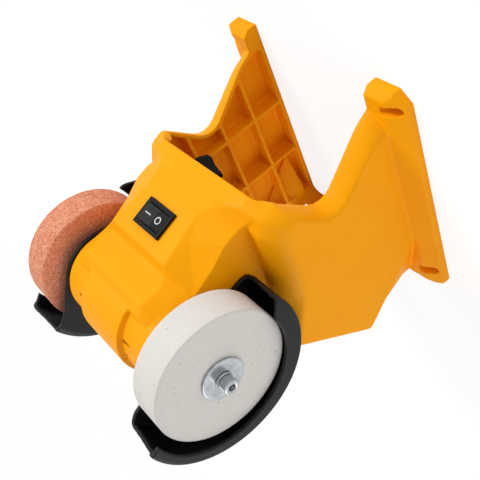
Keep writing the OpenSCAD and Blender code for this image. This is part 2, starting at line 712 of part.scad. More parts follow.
// Grinding wheel with rounded edges, drawn for the +X side
module wheel() {
    r = wheel_r;
    e = wheel_edge;
    b = wheel_bore_d / 2;
    corner = [for (a = [0 : 30 : 90]) [r - e + e * cos(a), e * sin(a)]];
    turned(concat([[b, wheel_in]], [for (i = [3 : -1 : 0]) [corner[i][0], wheel_in + e - corner[i][1]]],
        [for (i = [0 : 3]) [corner[i][0], wheel_out - e + corner[i][1]]], [[b, wheel_out]]));
}
module white_wheel() { color("gainsboro") at_axle() mirror([1, 0, 0]) wheel(); }
module pink_wheel() { color("lightsalmon") at_axle() wheel(); }

module wheel_bushes() {
    color("dimgray") at_axle() both_ends()
        ring(wheel_bore_d / 2 - fit_gap, spindle_r + fit_gap, wheel_in, wheel_out);
}

module inner_flanges() {
    color("silver") at_axle() both_ends() difference() {
        union() {
            rod(spindle_r + 2.6, bearing_out + 0.3, flange_in + 0.5);
            rod(flange_d / 2, flange_in, wheel_in);
        }
        rod(spindle_r + fit_gap, bearing_out - 1, wheel_in + 1);
        ring(flange_d / 2 - 3, wheel_bore_d / 2 + 1, wheel_in - 0.6, wheel_in + 1);
    }
}

module outer_washers() {
    color("silver") at_axle() both_ends()
        ring(washer_d / 2, screw_d / 2 + 0.3, wheel_out, washer_out);
}

module lock_washers() {
    color("silver") at_axle() both_ends() difference() {
        ring(lock_washer_d / 2, screw_d / 2 + 0.3, washer_out, lock_out);
        translate([washer_out - 1, 0, -0.5]) rotate([18, 0, 0]) cube([lock_washer_t + 2, lock_washer_d, 1]);
    }
}

module spindle_screws() {
    color("silver") at_axle() both_ends() difference() {
        union() {
            turned([[0, lock_out], [screw_head_d / 2, lock_out], [screw_head_d / 2, head_out - 0.7],
                [screw_head_d / 2 - 0.7, head_out], [0, head_out]]);
            rod(screw_d / 2, lock_out - screw_l, lock_out + 1);
        }
        translate([head_out - 3.4, 0, 0]) rotate([0, 90, 0])
            cylinder(r = screw_socket / sqrt(3), h = 5, $fn = 6);
    }
}

module spindle() {
    color("lightgray") at_axle() difference() {
        union() {
            rod(spindle_r, -spindle_half, spindle_half);
            rod(spindle_core_d / 2, -bearing_in, bearing_in);
        }
        both_ends() rod(screw_d / 2 + fit_gap, lock_out - screw_l - 2, spindle_half + 1);
    }
}

// Ball bearing pieces: ring walls and a groove that clears the balls
ball_path_r = (bearing_d / 2 + spindle_r) / 2;
module ball_groove() {
    translate([(bearing_in + bearing_out) / 2, 0, 0]) rotate([0, 90, 0]) rotate_extrude()
        translate([ball_path_r, 0]) circle(r = ball_d / 2 + fit_gap, $fn = 48);
}
module bearing_outer_rings() {
    color("silver") at_axle() both_ends() difference() {
        ring(bearing_d / 2, ball_path_r + 1.3, bearing_in, bearing_out);
        ball_groove();
    }
}
module bearing_inner_rings() {
    color("silver") at_axle() both_ends() difference() {
        ring(ball_path_r - 1.3, spindle_r + fit_gap, bearing_in, bearing_out);
        ball_groove();
    }
}
module bearing_balls() {
    color("whitesmoke") at_axle() both_ends() for (k = [0 : ball_count - 1])
        rotate([360 * k / ball_count, 0, 0])
            translate([(bearing_in + bearing_out) / 2, ball_path_r, 0]) sphere(r = ball_d / 2, $fn = 32);
}

// Motor, with its closed end at -X and its end bell at +X
can_x0 = -25;
can_x1 = can_x0 + motor_l;
can_in = motor_d / 2 - motor_wall;
rotor_x0 = -12;
rotor_x1 = rotor_x0 + rotor_l;
magnet_in = rotor_d / 2 + air_gap;
commutator_x0 = rotor_x1 + 5.2;
commutator_x1 = commutator_x0 + 8;
brush_x = commutator_x0 + 4;
bell_x1 = 24;

module motor_can() {
    color("lightslategray") at_axle() difference() {
        rod(motor_d / 2, can_x0, can_x1);
        rod(can_in, can_x0 + motor_wall, can_x1 + 1);
        rod(spindle_core_d / 2 + 1.5, can_x0 - 1, can_x1);
        for (a = [30 : 60 : 330]) rotate([a, 0, 0])
            translate([can_x0 - 1, 11, -2.5]) cube([4, 5, 5]);
    }
}

module field_magnets() {
    color("dimgray") at_axle() for (s = [0, 180]) rotate([s, 0, 0]) intersection() {
        ring(can_in, magnet_in, rotor_x0 - 2, can_x1 - 3);
        along_x([[0, 0], [30, -26], [40, 0], [30, 26]], rotor_x0 - 3, can_x1);
    }
}

module motor_end_bell() {
    color("darkslategray") at_axle() difference() {
        union() {
            ring(can_in - fit_gap, can_in - 1.8, can_x1 - 3, can_x1 + 1);
            rod(motor_d / 2, can_x1, bell_x1);
        }
        rod(can_in - 1.8, can_x1 - 4, bell_x1 - 1.8);
        rod(commutator_d / 2 + 1, can_x1, bell_x1 + 1);
        for (a = [60 : 60 : 300]) if (a != 180) rotate([a, 0, 0])
            translate([bell_x1 - 3, 9.5, -2.5]) cube([5, 7, 5]);
        for (s = [0, 180]) rotate([s, 0, 0])
            translate([brush_x - 3.2, 10, -3.7]) cube([6.4, motor_d, 7.4]);
    }
}

module rotor_core() {
    slot = 360 / rotor_slots;
    color("gray") at_axle() difference() {
        rod(rotor_d / 2, rotor_x0, rotor_x1);
        rod(spindle_core_d / 2 + fit_gap, rotor_x0 - 1, rotor_x1 + 1);
        for (k = [0 : rotor_slots - 1]) rotate([k * slot, 0, 0]) {
            translate([rotor_x0 - 1, rotor_d / 2 - 4.2, 0]) rod(2.8, 0, rotor_l + 2);
            translate([rotor_x0 - 1, rotor_d / 2 - 3, -0.8]) cube([rotor_l + 2, 5, 1.6]);
        }
    }
}

// Copper: a bundle in each slot, joined by a rounded ring at each end of the core
module rotor_windings() {
    slot = 360 / rotor_slots;
    bundle_r = 2.8 - seat_gap;
    color("peru") at_axle() {
        for (k = [0 : rotor_slots - 1]) rotate([k * slot, 0, 0])
            translate([0, rotor_d / 2 - 4.2, 0]) rod(bundle_r, rotor_x0 - 1, rotor_x1 + 1);
        for (x = [rotor_x0 - 4.2, rotor_x1 + seat_gap])
            translate([x, 0, 0]) turned([[spindle_core_d / 2 + 1, 0], [rotor_d / 2 - 3, 0],
                [rotor_d / 2 - 1.4, 1.2], [rotor_d / 2 - 1.4, 2.8], [rotor_d / 2 - 3, 4],
                [spindle_core_d / 2 + 1, 4]]);
    }
}

module commutator() {
    bars = 2 * rotor_slots;
    color("orange") at_axle() difference() {
        rod(commutator_d / 2, commutator_x0, commutator_x1);
        rod(spindle_core_d / 2 + fit_gap, commutator_x0 - 1, commutator_x1 + 1);
        for (k = [0 : bars - 1]) rotate([k * 360 / bars, 0, 0])
            translate([commutator_x0 - 1, commutator_d / 2 - 0.5, -0.2]) cube([12, 2, 0.4]);
    }
}

// Radial fan on the rotor's closed end
module cooling_fan() {
    x0 = can_x0 + motor_wall + air_gap;
    blades = 8;
    color("gray") at_axle() difference() {
        union() {
            rod(spindle_core_d / 2 + 2, x0, x0 + 5);
            ring(rotor_d / 2, spindle_core_d / 2 + 1, x0 + 3.8, x0 + 5);
            for (k = [0 : blades - 1]) rotate([k * 360 / blades, 0, 0])
                translate([x0, spindle_core_d / 2 + 1, -0.5])
                    cube([4, rotor_d / 2 - spindle_core_d / 2 - 2, 1]);
        }
        rod(spindle_core_d / 2 + fit_gap, x0 - 1, x0 + 6);
    }
}

brush_l = 8;
brush_in = commutator_d / 2 + 0.3;
box_in = brush_in + 1.6;
box_out = motor_d / 2 + 0.8;
box_end = 0.7;

module brush_boxes() {
    color("goldenrod") at_axle() for (s = [0, 180]) rotate([s, 0, 0]) difference() {
        translate([brush_x - 3.2, box_in, -3.7]) cube([6.4, box_out - box_in, 7.4]);
        translate([brush_x - 2.5, box_in - 1, -3]) cube([5, box_out - box_end - box_in + 1, 6]);
    }
}
module carbon_brushes() {
    color("darkslategray") at_axle() for (s = [0, 180]) rotate([s, 0, 0])
        translate([brush_x - 2.4, brush_in, -2.9]) cube([4.8, brush_l, 5.8]);
}
// Coil spring of round wire with half a closed turn at each end, between the brush and the box's end
module brush_springs() {
    wire_r = 0.32;
    turns = 5.5;
    rest = wire_r * cos(30);
    rise = box_out - box_end - brush_in - brush_l - 2 * rest;
    coil = [for (k = [0 : 10 * turns]) let (a = 36 * k, u = (k / 10 - 0.5) / (turns - 1))
        [1.8 * cos(a), 1.8 * sin(a), rest + rise * max(0, min(1, u))]];
    color("silver") at_axle() for (s = [0, 180]) rotate([s, 0, 0])
        translate([brush_x, brush_in + brush_l, 0]) rotate([-90, 0, 0])
            tube(coil, wire_r, [0, 0, 1], 6);
}

module switch_body() {
    color("black") on_panel() difference() {
        union() {
            translate([-bezel_w / 2, -bezel_h / 2, 0]) cube([bezel_w, bezel_h, bezel_t]);
            translate([-cut_w / 2 + seat_gap, -cut_h / 2 + seat_gap, -switch_depth])
                cube([cut_w - 2 * seat_gap, cut_h - 2 * seat_gap, switch_depth + eps]);
        }
        translate([-rocker_w / 2 - 0.3, -rocker_h / 2 - 0.3, -4.5])
            cube([rocker_w + 0.6, rocker_h + 0.6, 10]);
        translate([0, 0, rocker_pivot]) rotate([90, 0, 0])
            cylinder(r = 1 + fit_gap, h = rocker_h + 2, center = true);
    }
}

rocker_w = bezel_w - 5.6;
rocker_h = bezel_h - 5.4;
rocker_pivot = -1.2;

// Rocker: two faces that meet in a shallow valley over the pivot, off side pressed in
module switch_rocker() {
    w = rocker_w / 2 - 0.5;
    rise = tan(rocker_swing) * w;
    color("black") on_panel() translate([0, 0, rocker_pivot]) {
        rotate([0, -rocker_swing, 0]) rotate([90, 0, 0])
            linear_extrude(height = rocker_h, center = true)
                polygon([[-w, 2.7 + rise], [0, 2.7], [w, 2.7 + rise], [w - 0.5, 0.6], [1.6, -2],
                    [-1.6, -2], [-w + 0.5, 0.6]]);
        rotate([90, 0, 0]) cylinder(r = 1, h = rocker_h + 1.6, center = true);
    }
}

terminal_l = 6.5;
module switch_terminals() {
    color("goldenrod") on_panel() for (x = [-4.5, 4.5])
        translate([x - 2.4, -0.4, -switch_depth - terminal_l]) difference() {
            cube([4.8, 0.8, terminal_l]);
            translate([2.4, 2, 2.4]) rotate([90, 0, 0]) cylinder(r = 0.8, h = 4);
        }
}

// Dock under the bay's roof: a plate with two rails whose lips the battery slides on
dock_half = rail_gap / 2 + rail_t;
module battery_dock() {
    lip = 3.2;
    color("black") from_axle_y() difference() {
        union() {
            translate([-dock_half, dock_front, dock_z - rail_t]) cube([2 * dock_half, dock_l, rail_t]);
            both_ends() translate([0, dock_front + dock_l, 0]) rotate([90, 0, 0])
                linear_extrude(height = dock_l - rail_back) polygon([
                    [dock_half, dock_z], [dock_half, dock_z - rail_drop],
                    [rail_gap / 2 - lip, dock_z - rail_drop],
                    [rail_gap / 2 - lip, dock_z - rail_drop + 2.4], [rail_gap / 2, dock_z - rail_drop + 3.4],
                    [rail_gap / 2, dock_z]]);
            translate([-17, dock_front, dock_z - rail_t - block_drop]) cube([34, block_l, block_drop + 1]);
            translate([0, dock_front + 3, 0]) rotate([90, 0, 0]) linear_extrude(height = 3)
                polygon(dock_stop);
        }
        both_ends() for (y = dock_screw_y) translate([24, y, dock_z - rail_t - 1])
            cylinder(r = clear_r, h = rail_t + 2);
        for (x = blade_x) translate([x - 0.4, dock_front + block_l - 4, blade_z]) cube([0.8, 8, blade_h]);
        for (x = [-9, 9]) translate([x, lead_hole_y, dock_z - 9]) cylinder(r = lead_r, h = 30);
    }
}
block_l = 28;
block_drop = 7.2;
blade_h = 4.4;
blade_z = dock_z - rail_t - block_drop + 1.3;
blade_x = [-12, -4, 4, 12];
dock_screw_y = [-24, 24];
lead_hole_y = -16;
// Battery stop at the dock's front end, as [X, Z]
dock_stop = [[27.5, bay_h], [27.5, bay_h - 15.4], [24, bay_h - 20], [20.1, bay_h - 20.2],
    [13.7, bay_h - 17.5], [4.4, bay_h - 15.6], [4.4, bay_h - 10.2], [-27.5, bay_h - 9.4], [-27.5, bay_h]];
// How far behind the dock's front end the rails begin
rail_back = 22;

module dock_screws() {
    color("silver") from_axle_y() both_ends() for (y = dock_screw_y)
        translate([24, y, dock_z - rail_t]) difference() {
            union() {
                translate([0, 0, -1.6]) cylinder(r = 2.7, h = 1.6 - fit_gap);
                translate([0, 0, -1]) cylinder(r = pilot_r - fit_gap, h = rail_t + 5);
            }
            translate([0, 0, -3]) cylinder(r = 1, h = 2.2);
        }
}

module contact_blades() {
    color("goldenrod") from_axle_y() for (x = blade_x)
        translate([x - 0.4, dock_front + block_l - 4, blade_z]) cube([0.8, 19, blade_h]);
}

// Paths of the inner leads, as [X, Y from the spindle, Z]; each ends at a terminal or a brush box
lead_r = 1.1;
lug_y = switch_y + (switch_depth + terminal_l) * cos(panel_tilt) - 0.6;
lug_z = switch_z - (switch_depth + terminal_l) * sin(panel_tilt);
battery_path = [[9, lead_hole_y, bay_h - 9], [9, lead_hole_y, bay_h + 4], [8.6, -17.4, bay_h + 10],
    [7, -21, bay_h + 15.5], [5.2, -24.4, lug_z - 3], [4.5, lug_y, lug_z]];
switch_path = [[-4.5, lug_y, lug_z], [-3.4, -27, axle_h - 29.2], [2, -26.8, axle_h - 27],
    [7.4, -25.4, axle_h - 25.2], [9.2, -24.8, axle_h - 20.6], [9.4, -25.4, axle_h - 13.6],
    [9.6, -26, axle_h - 6.6], [11.4, -26, axle_h - 1.6], [14.2, -24.8, axle_h - 0.3],
    [15.4, 0.1 - box_out - 0.9, axle_h], [15.6, 0.1 - box_out, axle_h]];
motor_path = [[-9, lead_hole_y, bay_h - 9], [-9, lead_hole_y, bay_h + 4], [-8.4, -12, bay_h + 10],
    [-4, -2, bay_h + 15], [2, 9, axle_h - 34.6], [7.6, 17.6, axle_h - 27], [9.6, 20.4, axle_h - 20.6],
    [10, 22.2, axle_h - 13.6], [10.6, 23.6, axle_h - 7.2], [12.4, 24.3, axle_h - 2.6],
    [15, 24.2, axle_h - 0.3], [15.5, box_out + 0.4, axle_h], [15.6, box_out - 0.1, axle_h]];

// A round tube along a list of points, closed at both ends; up is a direction the path keeps off
module tube(path, r, up, sides) {
    n = len(path);
    tangent = [for (i = [0 : n - 1]) unit(path[min(i + 1, n - 1)] - path[max(i - 1, 0)])];
    side = [for (t = tangent) unit(cross(t, up))];
    points = [for (i = [0 : n - 1], k = [0 : sides - 1]) let (a = 360 * k / sides)
        path[i] + r * (side[i] * cos(a) + cross(tangent[i], side[i]) * sin(a))];
    polyhedron(points = points, faces = concat(
        [[for (k = [0 : sides - 1]) k]],
        [for (i = [0 : n - 2], k = [0 : sides - 1]) let (j = (k + 1) % sides, a = i * sides, b = a + sides)
            each [[a + k, b + k, b + j], [a + k, b + j, a + j]]],
        [[for (k = [sides - 1 : -1 : 0]) (n - 1) * sides + k]]));
}
module lead(path) { tube(path, lead_r, [0, 1, 0], 8); }

module battery_lead() {
    color("red") from_axle_y() lead(battery_path);
}
module switch_lead() {
    color("red") from_axle_y() lead(switch_path);
}
module motor_lead() {
    color("black") from_axle_y() lead(motor_path);
}

main_housing();
rear_cover();
cover_screws();
wheel_guard_left();
wheel_guard_right();
guard_screws();
white_wheel();
pink_wheel();
wheel_bushes();
inner_flanges();
outer_washers();
lock_washers();
spindle_screws();
spindle();
bearing_outer_rings();
bearing_inner_rings();
bearing_balls();
motor_can();
field_magnets();
motor_end_bell();
rotor_core();
rotor_windings();
commutator();
cooling_fan();
brush_boxes();
carbon_brushes();
brush_springs();
switch_body();
switch_rocker();
switch_terminals();
battery_dock();
dock_screws();
contact_blades();
battery_lead();
switch_lead();
motor_lead();
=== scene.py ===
import math

import bmesh
import bpy
import numpy as np
from mathutils import Matrix, Vector


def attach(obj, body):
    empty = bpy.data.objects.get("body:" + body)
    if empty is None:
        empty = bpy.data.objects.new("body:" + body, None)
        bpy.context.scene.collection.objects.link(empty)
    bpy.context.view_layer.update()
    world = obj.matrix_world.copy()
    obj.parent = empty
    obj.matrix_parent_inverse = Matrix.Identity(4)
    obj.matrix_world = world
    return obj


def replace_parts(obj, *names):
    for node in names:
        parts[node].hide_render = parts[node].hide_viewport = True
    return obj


# Looks of the cordless bench grinder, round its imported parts. Metres; -Y is the front with the
# switch, X runs along the spindle, and the origin is the middle of the bench slots, on the bench.

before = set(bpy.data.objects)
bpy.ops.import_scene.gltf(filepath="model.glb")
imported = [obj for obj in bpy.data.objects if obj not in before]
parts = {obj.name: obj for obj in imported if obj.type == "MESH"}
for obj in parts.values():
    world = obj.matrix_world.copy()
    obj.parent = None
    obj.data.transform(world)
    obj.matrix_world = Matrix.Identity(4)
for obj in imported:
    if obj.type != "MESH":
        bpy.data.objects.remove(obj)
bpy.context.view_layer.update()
scene = bpy.context.scene
MM = 0.001

# Places shared with the part's source, in millimetres and degrees
AXLE_Y, AXLE_H = -2.3, 144.6
SWITCH_Y, SWITCH_Z, PANEL_TILT = -46.3, 117.0, 17.6
ROCKER_SWING, ROCKER_PIVOT, ROCKER_RISE = 8.0, -1.2, 2.7
WHEEL_IN, WHEEL_OUT = 49.0, 69.0
WHEEL_R, WHEEL_EDGE, WHEEL_BORE_R = 37.5, 1.0, 6.35
WASHER_R, WASHER_OUT = 12.0, 70.5
LOCK_R, LOCK_OUT = 4.8, 72.1
SCREW_R, SCREW_HOLE_R, SCREW_TIP = 2.5, 2.8, 50.1
HEAD_R, HEAD_OUT = 4.25, 77.6
SOCKET_FLAT, SOCKET_DEPTH = 2.0, 3.4

# How near to each other the corners of a CAD mesh's loose triangles are joined, in metres, and
# the share of the way to its neighbours' mean that a point moves in one pass of relaxing
MERGE_WITHIN = 2e-6
RELAX_STEP = 0.5

# Angles in degrees under which a piece's faces shade as one surface
ALL_SMOOTH, WHEEL_SMOOTH, HARDWARE_SMOOTH = 180, 50, 35


# Camera

# The photograph's camera, solved from the outlines in it: the directions of the picture's right
# and depth, the lens's place in metres, its focal length and film width in millimetres, and the
# nearest and farthest distance that it sees
PICTURE_RIGHT = Vector((-0.5920, 0.3123, -0.7430))
PICTURE_DEPTH = Vector((0.6692, 0.7042, -0.2372))
LENS_PLACE = Vector((-0.2960, -0.3060, 0.1863))
FOCAL_LENGTH, FILM_WIDTH = 59.16, 36.0
NEAREST, FARTHEST = 0.01, 50.0


def aim_camera():
    """The photograph's camera, turned so that its axes are the picture's right, up and depth."""
    camera = bpy.data.objects.new("photo_camera", bpy.data.cameras.new("photo_camera"))
    scene.collection.objects.link(camera)
    right = PICTURE_RIGHT.normalized()
    ahead = PICTURE_DEPTH.normalized()
    down = ahead.cross(right).normalized()
    turn = Matrix((right, -down, -ahead)).transposed().to_4x4()
    turn.translation = LENS_PLACE
    camera.matrix_world = turn
    camera.data.sensor_width = FILM_WIDTH
    camera.data.lens = FOCAL_LENGTH
    camera.data.clip_start, camera.data.clip_end = NEAREST, FARTHEST
    scene.camera = camera


# Mesh helpers

def new_piece(name, points, faces, body, slot, smooth_angle, finish=None):
    """A mesh piece from points in millimetres, riding on a body, with its finish, which is the
    given slot's finish if none is given."""
    mesh = bpy.data.meshes.new(name)
    corners = [list(map(int, face)) for face in faces]
    mesh.from_pydata((np.asarray(points, float) * MM).tolist(), [], corners)
    mesh.validate()
    piece = bpy.data.objects.new(name, mesh)
    scene.collection.objects.link(piece)
    return dress(piece, body, finish or finishes[slot], smooth_angle)


def dress(piece, body, finish, smooth_angle):
    """Gives a piece its body, its material and its shading."""
    piece.data.materials.clear()
    piece.data.materials.append(finish)
    piece.data.shade_smooth()
    if smooth_angle < ALL_SMOOTH:
        piece.data.set_sharp_from_angle(angle=math.radians(smooth_angle))
    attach(piece, body)
    return piece


def grid_faces(rows, cols, wrap_rows=False, wrap_cols=False):
    """Quads of a grid of points stored row by row; either direction may close on itself."""
    i = np.arange(rows if wrap_rows else rows - 1)
    j = np.arange(cols if wrap_cols else cols - 1)
    i, j = np.meshgrid(i, j, indexing="ij")
    i, j = i.ravel(), j.ravel()
    n, m = (i + 1) % rows, (j + 1) % cols
    return np.stack([i * cols + j, i * cols + m, n * cols + m, n * cols + j], 1)


def outwards(points, faces):
    """Faces, turned over as a whole if the closed mesh's signed volume is negative. The volume is
    the sum, over the triangles of each face's fan, of the first corner's dot product with the
    cross product of the other two."""
    p = np.asarray(points, float)
    fans = np.array([(f[0], f[i], f[i + 1]) for f in faces for i in range(1, len(f) - 1)])
    across = np.cross(p[fans[:, 1]], p[fans[:, 2]])
    volume = np.einsum("ij,ij->i", p[fans[:, 0]], across).sum()
    return [f[::-1] for f in faces] if volume < 0 else faces


def both_sides(points, faces):
    """A mesh and its mirror image across X = 0, with the image's faces turned over."""
    p = np.asarray(points, float)
    image = [tuple(i + len(p) for i in f[::-1]) for f in faces]
    return np.concatenate([p, p * (-1, 1, 1)]), [tuple(f) for f in faces] + image


def round_spindle(x, r, turn):
    """Points about the spindle: X, and the radius times the cosine and sine of the turn."""
    return np.stack([x, AXLE_Y + r * np.cos(turn), AXLE_H + r * np.sin(turn)], -1).reshape(-1, 3)


def rings(profile, segments, shape=None):
    """Each point [X, radius] of a profile, carried round the spindle as a ring of points.
    shape(x, r, turn) returns changed x and r."""
    turn = np.linspace(0, 2 * np.pi, segments, endpoint=False)
    x = np.repeat(profile[:, :1], segments, 1)
    r = np.repeat(profile[:, 1:], segments, 1)
    t = np.repeat(turn[None, :], len(profile), 0)
    if shape:
        x, r = shape(x, r, t)
    return round_spindle(x, r, t)


def lathe(profile, segments, shape=None):
    """A closed profile [X, radius] carried round the spindle, closed both ways."""
    points = rings(np.asarray(profile, float), segments, shape)
    return points, outwards(points, grid_faces(len(profile), segments, True, True))


def turned_solid(profile, segments, shape=None):
    """An open profile [X, radius] carried round the spindle, whose two ends lie on the axis and
    become single points, each joined to the nearest ring by a fan of triangles."""
    prof = np.asarray(profile, float)
    sides = rings(prof[1:-1], segments, shape)
    poles = [[prof[0, 0], AXLE_Y, AXLE_H], [prof[-1, 0], AXLE_Y, AXLE_H]]
    first_pole, last_pole = len(sides), len(sides) + 1
    last_ring = len(sides) - segments
    here = np.arange(segments)
    after = (here + 1) % segments
    caps = [(first_pole, b, a) for a, b in zip(here, after)]
    caps += [(last_pole, last_ring + a, last_ring + b) for a, b in zip(here, after)]
    quads = [tuple(f) for f in grid_faces(len(prof) - 2, segments, False, True)]
    points = np.concatenate([sides, poles])
    return points, outwards(points, quads + caps)


def at_x(x, radii):
    """Profile points at one X, over an array of radii."""
    return np.stack([np.full(len(radii), x), radii], 1)


def at_radius(xs, radius):
    """Profile points at one radius, over an array of X."""
    return np.stack([xs, np.full(len(xs), radius)], 1)


def arc(centre, radius, start, stop, steps):
    """Points on an arc, from start to stop in degrees, with cosine along the first axis."""
    a = np.radians(np.linspace(start, stop, steps))
    return np.stack([centre[0] + radius * np.cos(a), centre[1] + radius * np.sin(a)], 1)


def ramp(value, low, high):
    """Smooth step from 0 at low to 1 at high: 3t squared less 2t cubed."""
    t = np.clip((value - low) / (high - low), 0, 1)
    return t * t * (3 - 2 * t)


def relaxed(points, edges, softness, passes):
    """Points moved towards the mean of their neighbours, pass after pass. A point of softness s
    takes part in the first s times passes of them, which rounds a crease by about the square
    root of its passes."""
    p = points.copy()
    a, b = edges[:, 0], edges[:, 1]
    count = np.bincount(np.concatenate([a, b]), minlength=len(p))[:, None].clip(1)
    both, other = np.concatenate([a, b]), np.concatenate([b, a])
    for k in range(passes):
        share = np.clip(softness * passes - k, 0, 1)[:, None] * RELAX_STEP
        if not share.any():
            break
        mean = np.stack([np.bincount(both, p[other, c], len(p)) for c in range(3)], 1) / count
        p += share * (mean - p)
    return p


def read_rows(items, attribute, width, kind=np.float32):
    """An attribute of a mesh's points or edges, as an array of one row each."""
    values = np.empty(len(items) * width, kind)
    items.foreach_get(attribute, values)
    return values.reshape(-1, width)


def bake_modifiers(piece):
    """Replaces a piece's mesh by what its modifiers make of it."""
    seen = piece.evaluated_get(bpy.context.evaluated_depsgraph_get())
    mesh = bpy.data.meshes.new_from_object(seen)
    old = piece.data
    piece.modifiers.clear()
    piece.data = mesh
    bpy.data.meshes.remove(old)


def softened(node, name, body, slot, cell, passes, triangles, softness=None):
    """A merged copy of a CAD node, rebuilt on an even grid of cells and relaxed, so that its edges
    have a moulding's radius, and thinned to at most so many triangles. The cell is in
    millimetres. softness(points, normals), from 0 to 1 for each point in millimetres, is 1
    everywhere if none is given."""
    mesh = parts[node].data.copy()
    piece = bpy.data.objects.new(name, mesh)
    scene.collection.objects.link(piece)
    merged = bmesh.new()
    merged.from_mesh(mesh)
    bmesh.ops.remove_doubles(merged, verts=merged.verts, dist=MERGE_WITHIN)
    merged.to_mesh(mesh)
    merged.free()
    rebuild = piece.modifiers.new("even_cells", "REMESH")
    rebuild.mode = "VOXEL"
    rebuild.voxel_size = cell * MM
    bake_modifiers(piece)
    mesh = piece.data
    points = read_rows(mesh.vertices, "co", 3).astype(float)
    normals = read_rows(mesh.vertices, "normal", 3).astype(float)
    edges = read_rows(mesh.edges, "vertices", 2, np.int32)
    soft = softness(points / MM, normals) if softness else np.ones(len(points))
    points = relaxed(points, edges, soft, passes)
    mesh.vertices.foreach_set("co", points.astype(np.float32).ravel())
    mesh.update()
    now = sum(len(f.vertices) - 2 for f in mesh.polygons)
    if now > triangles:
        thin = piece.modifiers.new("fewer_faces", "DECIMATE")
        thin.ratio = triangles / now
        bake_modifiers(piece)
    dress(piece, body, finishes[slot], ALL_SMOOTH)
    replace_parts(piece, node)
    return piece


# Shader helpers

def add(tree, kind, sockets=None, **settings):
    """Adds a node, sets its options, and sets or links its inputs by name or number."""
    node = tree.nodes.new("ShaderNode" + kind)
    for key, value in settings.items():
        setattr(node, key, value)
    for key, value in (sockets or {}).items():
        if isinstance(value, bpy.types.NodeSocket):
            tree.links.new(value, node.inputs[key])
        else:
            node.inputs[key].default_value = value
    return node


def math_node(tree, operation, *values):
    """The result of a Math node on two values or sockets."""
    return add(tree, "Math", dict(enumerate(values)), operation=operation).outputs[0]


def mix(tree, share, a, b):
    """Colour a turned into b by a share."""
    return add(tree, "Mix", {"Factor": share, 6: a, 7: b}, data_type="RGBA").outputs[2]


def stretch(tree, value, low, high, to_low=0.0, to_high=1.0):
    """A value's range low to high carried to another range, clamped."""
    return add(tree, "MapRange", {0: value, 1: low, 2: high, 3: to_low, 4: to_high}).outputs[0]


def noise(tree, place, scale, detail=3.0, roughness=0.55):
    """Noise from 0 to 1 at points of a place."""
    return add(tree, "TexNoise", {"Vector": place, "Scale": scale, "Detail": detail,
                                  "Roughness": roughness}).outputs[0]


def srgb(r, g, b):
    """A colour written as screen values from 0 to 255, as the linear colour that a node takes."""
    c = np.array([r, g, b], float) / 255
    c = np.where(c <= 0.04045, c / 12.92, ((c + 0.055) / 1.055) ** 2.4)
    return (*c.tolist(), 1.0)


def new_group(name, inputs, outputs):
    """An empty shader group and its two ends. Its inputs are given as {name: (socket type,
    value)}, and its outputs as {name: socket type}."""
    group = bpy.data.node_groups.new(name, "ShaderNodeTree")
    for key, (kind, value) in inputs.items():
        socket = group.interface.new_socket(key, in_out="INPUT", socket_type="NodeSocket" + kind)
        if value is not None:
            socket.default_value = value
    for key, kind in outputs.items():
        group.interface.new_socket(key, in_out="OUTPUT", socket_type="NodeSocket" + kind)
    given = group.nodes.new("NodeGroupInput").outputs
    return group, given, group.nodes.new("NodeGroupOutput").inputs


def moulded_grain_group():
    """Moulded plastic: slow mottling of the colour with a fine one over it, a spark-eroded grain
    as height, and scuffs in the gloss."""
    group, given, out = new_group(
        "moulded_grain",
        {"Place": ("Vector", None), "Color": ("Color", None), "Mottled": ("Color", None),
         "Roughness": ("Float", 0.5), "Spread": ("Float", 0.1), "Grain Scale": ("Float", 2200.0)},
        {"Color": "Color", "Roughness": "Float", "Height": "Float"})
    place = given["Place"]
    flow = noise(group, place, scale=38.0, detail=3.0)
    fine = noise(group, place, scale=900.0, detail=2.0)
    grain = noise(group, place, given["Grain Scale"], detail=2.0)
    share = math_node(group, "ADD", stretch(group, flow, 0.35, 0.7, to_high=0.7),
                      stretch(group, fine, 0.3, 0.7, to_high=0.3))
    group.links.new(mix(group, share, given["Color"], given["Mottled"]), out["Color"])
    scuff = noise(group, place, scale=120.0, detail=6.0, roughness=0.7)
    scuff = stretch(group, scuff, 0.3, 0.75, to_low=-0.5, to_high=0.5)
    change = math_node(group, "MULTIPLY", scuff, given["Spread"])
    group.links.new(math_node(group, "ADD", given["Roughness"], change), out["Roughness"])
    group.links.new(grain, out["Height"])
    return group


# Weights of a grit cell's own shade and of the clouds in a stone's colour, and how large and how
# strong a speck is
CELL_WEIGHT, CLOUD_WEIGHT = 0.95, 0.2
SPECK_SIZE, SPECK_STRENGTH = 0.17, 0.75


